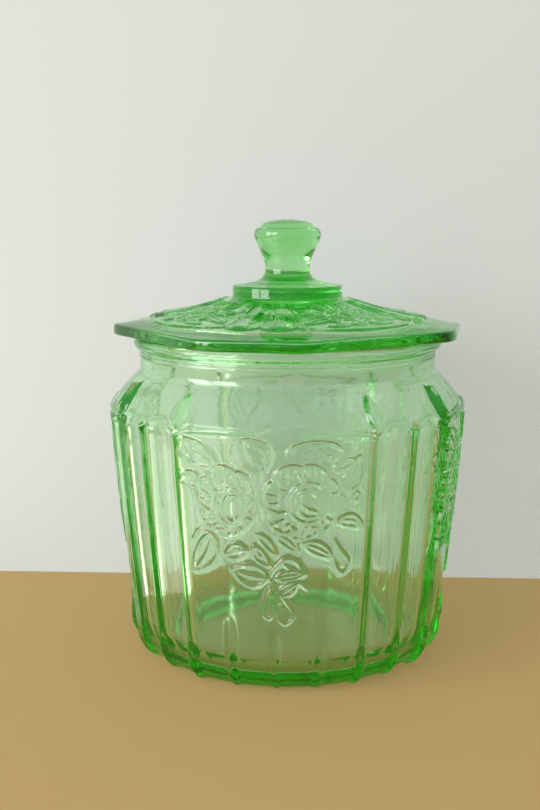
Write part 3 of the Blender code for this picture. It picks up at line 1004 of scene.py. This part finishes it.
def stage_sheet(name, corners, material):
    mesh = bpy.data.meshes.new(name)
    mesh.from_pydata([tuple(corner) for corner in corners], [], [(0, 1, 2, 3)])
    mesh.materials.append(material)
    sheet = bpy.data.objects.new(name, mesh)
    bpy.context.scene.collection.objects.link(sheet)
    return sheet


STAGE_REACH = 2.0  # metres, as everything on the stage
SAND = (0.475, 0.325, 0.128)
OFF_WHITE = (0.66, 0.68, 0.65)
reach = STAGE_REACH
floor_corners = [(-reach, -reach, 0.0), (reach, -reach, 0.0), (reach, reach, 0.0), (-reach, reach, 0.0)]
stage_sheet("floor", floor_corners, plain("pale_floor", SAND, 0.46))
WALL_BEHIND = 0.080
WALL_TURN = CAMERA_TURN - radians(2.6)
wall_turned = Euler((0.0, 0.0, WALL_TURN)).to_matrix()
across_wall = wall_turned @ Vector((1.0, 0.0, 0.0))
wall_foot = wall_turned @ Vector((0.0, WALL_BEHIND, 0.0))
left, right = wall_foot - reach * across_wall, wall_foot + reach * across_wall
top = Vector((0.0, 0.0, reach))
wall_corners = [left, right, right + top, left + top]
stage_sheet("wall", wall_corners, plain("pale_wall", OFF_WHITE, 0.53, one_sided=True))
print(f"the wall stands {WALL_BEHIND / MM:.0f} mm behind the middle of the jar")

# %% [markdown]
# ### Light
#
# Two tall panes side by side make a window with a bar between them. It gives the long highlights on the
# ribs. A faint card low on the left shines up past the jar, and lays a pale veil on the nearest flutes. The
# world is a soft room, brighter on the window's side and overhead. Light inside a rib or the knob is turned
# back many times before it comes out, so a path may bounce 24 times, or these would go black.


# %% Lights
def pane(name, place, aim, width, height, watts, colour):
    data = bpy.data.lights.new(name, "AREA")
    data.shape = "RECTANGLE"
    data.size = width
    data.size_y = height
    data.energy = watts
    data.color = colour
    light = bpy.data.objects.new(name, data)
    light.location = place
    light.rotation_euler = (Vector(aim) - Vector(place)).to_track_quat("-Z", "Y").to_euler()
    bpy.context.scene.collection.objects.link(light)


WHITE = (1.0, 1.0, 1.0)
DAYLIGHT = (1.0, 1.0, 0.99)
AIM = (0.0, 0.0, 0.10)
WINDOW = Vector((-1.15, -0.82, 0.48))
ALONG_WINDOW = Vector((0.58, -0.81, 0.0))
PANE_OFFSET = 0.28
PANE_WATTS = 9.0
for name, offset in (("left_pane", -PANE_OFFSET), ("right_pane", PANE_OFFSET)):
    pane(name, WINDOW + offset * ALONG_WINDOW, AIM, 0.50, 0.85, PANE_WATTS, DAYLIGHT)
CARD_WATTS = 0.50
card = turned @ Vector((-0.24, -0.20, 0.004))
pane("bounce_card", card, (card.x, card.y, 1.0), 0.24, 0.42, CARD_WATTS, WHITE)

# %% The soft room and the bounces
ROOM_TINT = (0.96, 0.99, 1.0, 1.0)
BRIGHT_SIDE = (-0.60, -0.38, 0.70)
ROOM_STRENGTH = (0.32, 0.95)  # on the dark side, and on the bright side
BOUNCES = 24
world = bpy.data.worlds.new("soft_room")
world.use_nodes = True
sky = Tree(world.node_tree)
toward = sky.add("ShaderNodeTexCoord")
facing = sky.add("ShaderNodeVectorMath", {"operation": "DOT_PRODUCT"}, {0: toward, 1: BRIGHT_SIDE}, 1)
background = world.node_tree.nodes["Background"]
background.inputs["Color"].default_value = ROOM_TINT
put(world.node_tree, background.inputs["Strength"], sky.rise(facing, -0.6, 0.95, *ROOM_STRENGTH))
bpy.context.scene.world = world
bpy.context.scene.view_settings.view_transform = "Standard"
for bounces in ("max_bounces", "glossy_bounces", "transmission_bounces"):
    setattr(bpy.context.scene.cycles, bounces, BOUNCES)

# %% [markdown]
# ## Joining the imported model
#
# Each piece of glass rides on its body, so the lid lifts off with the model's joint. It stands for the
# imported solid, which stays for collision and is hidden.

# %% Bodies and hidden solids
for piece, body, node in ((jar_blank, "jar", "jar_body"), (lid_blank, "lid", "lid")):
    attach(piece, body)
    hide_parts(node)
